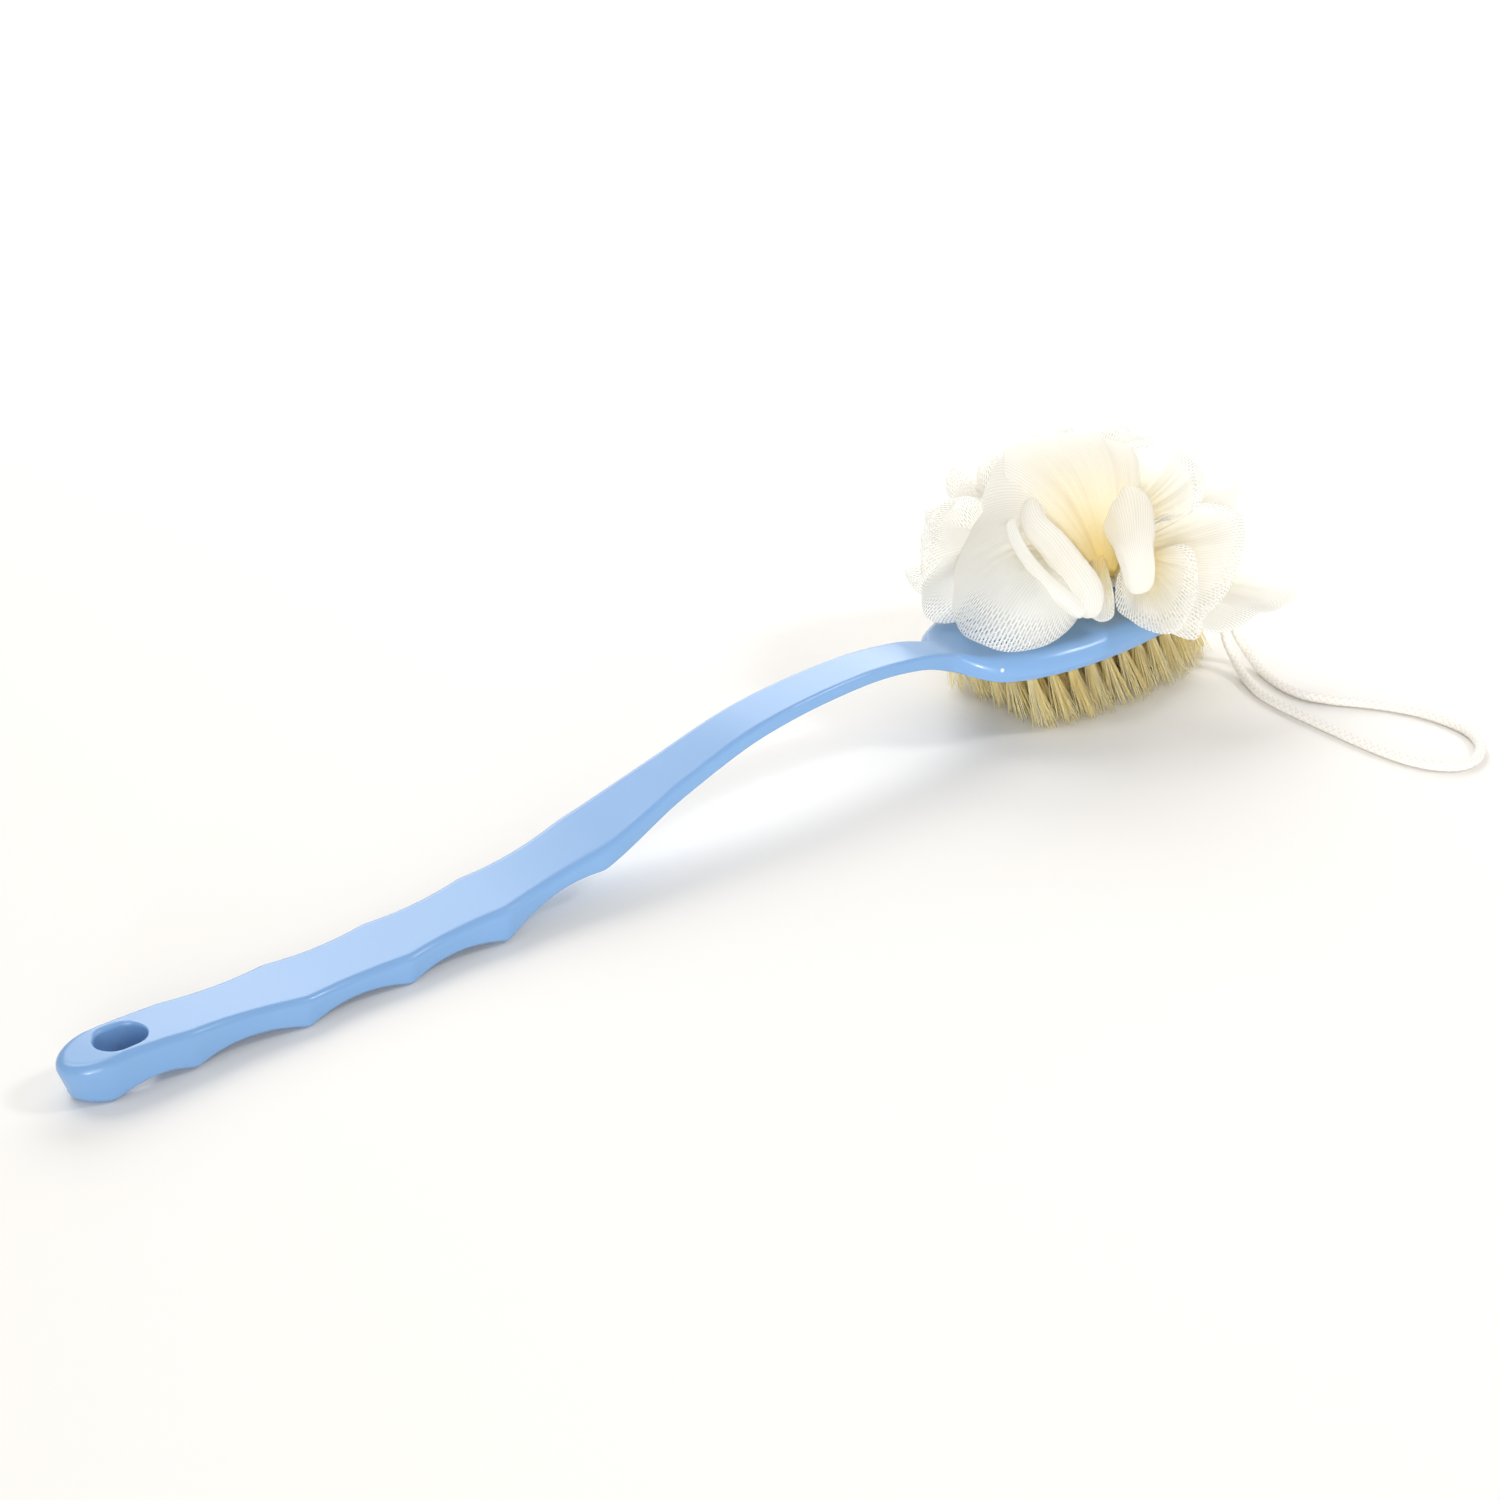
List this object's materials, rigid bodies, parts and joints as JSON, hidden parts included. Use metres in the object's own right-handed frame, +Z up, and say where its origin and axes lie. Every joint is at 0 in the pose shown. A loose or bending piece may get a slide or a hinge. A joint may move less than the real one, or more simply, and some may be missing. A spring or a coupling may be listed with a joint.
{
  "type": "back scrubber",
  "caption": "Long curved bath brush with finger grooves and a hang slot, leaning bristle tufts under an oval head and a gathered netting pouf tied on its back with a cord loop.",
  "frame": {"origin": "middle of the footprint box of the scrubber, on the surface that its finger bumps and bristle tips stand on", "axes": "+X along the handle from its end towards the head, +Y across the handle, +Z up from the bristle tips to the pouf"},
  "size_m": [0.4004, 0.1734, 0.0809],
  "materials": {
    "moulded_pp": "gloss moulded polypropylene",
    "bristle": "crimped cream bristle",
    "staple_wire": "flat steel wire",
    "netting": "extruded cream mesh netting",
    "cord": "braided white cord"
  },
  "bodies": {
    "brush": {"brush_body": "moulded_pp", "tuft_row_1": "bristle", "tuft_row_2": "bristle", "tuft_row_3": "bristle", "tuft_row_4": "bristle", "tuft_row_5": "bristle", "tuft_row_6": "bristle", "tuft_row_7": "bristle", "tuft_row_8": "bristle", "tuft_row_9": "bristle", "tuft_row_10": "bristle", "tuft_row_11": "bristle", "tuft_row_12": "bristle", "staple_row_1": "staple_wire", "staple_row_2": "staple_wire", "staple_row_3": "staple_wire", "staple_row_4": "staple_wire", "staple_row_5": "staple_wire", "staple_row_6": "staple_wire", "staple_row_7": "staple_wire", "staple_row_8": "staple_wire", "staple_row_9": "staple_wire", "staple_row_10": "staple_wire", "staple_row_11": "staple_wire", "staple_row_12": "staple_wire", "tie_ring": "cord", "tie_knot": "cord", "cord_loop": "cord"},
    "pouf": {"net_lower": "netting", "net_middle": "netting", "net_upper": "netting", "tie_winding": "cord"}
  },
  "joints": [
    {"name": "pouf_swivel", "type": "hinge", "parent": "brush", "child": "pouf", "pos_m": [0.143, 0, 0.0374], "axis": [0, 0, 1], "range_deg": [-45, 45]}
  ]
}
